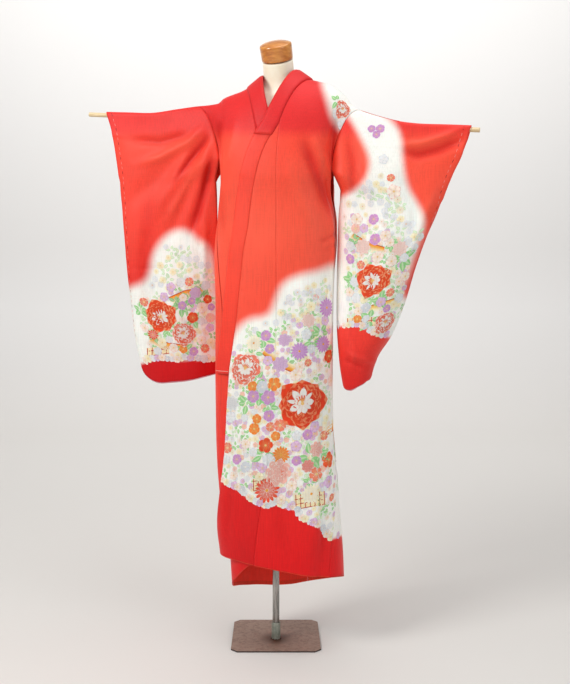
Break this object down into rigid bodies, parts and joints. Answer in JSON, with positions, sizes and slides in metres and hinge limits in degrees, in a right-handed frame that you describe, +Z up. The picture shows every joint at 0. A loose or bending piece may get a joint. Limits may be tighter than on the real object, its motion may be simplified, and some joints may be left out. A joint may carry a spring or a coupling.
{
  "type": "kimono on a dress form",
  "caption": "Long-sleeved red silk kimono with hanging furisode sleeves, worn on a limbless dress form with a sleeve rod, steel pole and square base plate.",
  "frame": {"origin": "centre of the base plate's underside below the pole's axis, at floor level", "axes": "+Z up, the garment's front faces -Y, the wearer's left is +X"},
  "size_m": [1.3364, 0.3467, 1.9753],
  "materials": {
    "silk": "satin silk, deep red with cloud-shaped white grounds of flowers",
    "silk_collar": "satin silk, plain red",
    "form_cloth": "cream jersey stretched over a shaped torso",
    "varnished_wood": "turned and varnished",
    "pale_wood": "bare dowel",
    "bright_steel": "bright drawn tube",
    "dull_steel": "dull, with a dark weld at its foot",
    "plate_steel": "bare hot-rolled plate, brown-grey with light rust"
  },
  "bodies": {
    "root": {"body_left": "silk", "body_right": "silk", "okumi_left": "silk", "okumi_right": "silk", "collar": "silk_collar", "over_collar": "silk_collar", "sleeve_left": "silk", "sleeve_right": "silk", "dress_form": "form_cloth", "neck_block": "varnished_wood", "sleeve_rod": "pale_wood", "pole": "bright_steel", "socket": "dull_steel", "base_plate": "plate_steel"}
  },
  "joints": []
}
